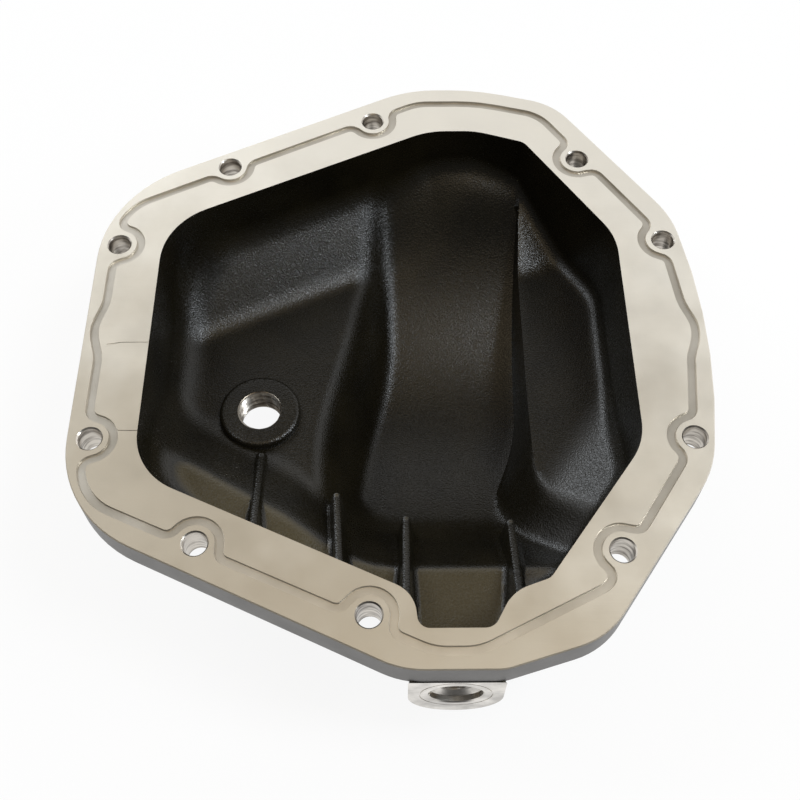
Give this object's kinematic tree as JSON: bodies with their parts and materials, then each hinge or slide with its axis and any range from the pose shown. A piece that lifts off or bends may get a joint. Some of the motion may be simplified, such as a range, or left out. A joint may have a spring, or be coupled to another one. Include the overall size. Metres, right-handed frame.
{
  "type": "differential cover",
  "caption": "Cast aluminium axle differential cover: deep ribbed pan with a machined, grooved bolt flange, a threaded fill hole and a drain boss at its lower edge.",
  "frame": {"origin": "centre of the footprint at the level of the flat crown on the back, on which the cover lies", "axes": "+Z out of the flange face, +Y towards the cover's upper edge on the axle, +X to the right seen into the pan"},
  "size_m": [0.282, 0.31, 0.0921],
  "materials": {
    "cast_aluminium": "machined bare flange and bosses, rough black-coated casting elsewhere"
  },
  "bodies": {
    "root": {"differential_cover": "cast_aluminium"}
  },
  "joints": []
}
